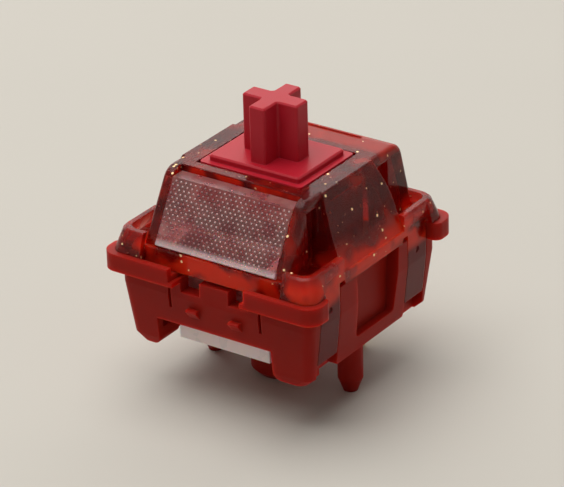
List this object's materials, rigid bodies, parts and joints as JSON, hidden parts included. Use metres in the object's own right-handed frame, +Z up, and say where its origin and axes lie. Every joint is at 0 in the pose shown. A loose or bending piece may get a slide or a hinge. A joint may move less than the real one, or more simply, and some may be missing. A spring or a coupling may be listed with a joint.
{
  "type": "mechanical keyboard switch",
  "caption": "Plate-mounted key switch with a cross-shaped stem, translucent cover, clear light guide, return spring and leaf contacts inside.",
  "frame": {"origin": "centre of the round central post at the housing's base plane, the circuit board's top face", "axes": "+Z up along the stem, +X to the right, -Y towards the light guide's side"},
  "size_m": [0.0156, 0.0156, 0.0185],
  "materials": {
    "base_nylon": "fine moulded",
    "cover_polycarbonate": "translucent, polished",
    "clear_acrylic": "clear, with a fine dotted lens face",
    "stem_plastic": "satin",
    "spring_steel": "drawn wire",
    "contact_brass": "stamped",
    "contact_gold": "polished",
    "leaf_bronze": "rolled strip"
  },
  "bodies": {
    "housing": {"bottom_housing": "base_nylon", "top_housing": "cover_polycarbonate", "light_guide": "clear_acrylic", "fixed_terminal": "contact_brass", "fixed_contact_point": "contact_gold", "moving_terminal": "contact_brass", "return_spring": "spring_steel"},
    "stem": {"stem": "stem_plastic"},
    "leaf": {"moving_leaf": "leaf_bronze", "moving_contact_point": "contact_gold"}
  },
  "joints": [
    {"name": "stem_press", "type": "slide", "parent": "housing", "child": "stem", "axis": [0, 0, -1], "range_m": [0, 0.004], "stiffness_N_per_m": 77.5, "springref_m": -0.00387, "deforming": ["return_spring"]},
    {"name": "leaf_flex", "type": "hinge", "parent": "housing", "child": "leaf", "pos_m": [0, 0.00568, 0.0016], "axis": [1, 0, 0], "range_deg": [0, 3.34]}
  ],
  "couplings": [
    {"joint": "leaf_flex", "follows": "stem_press", "rad_per_m": 14.352}
  ]
}
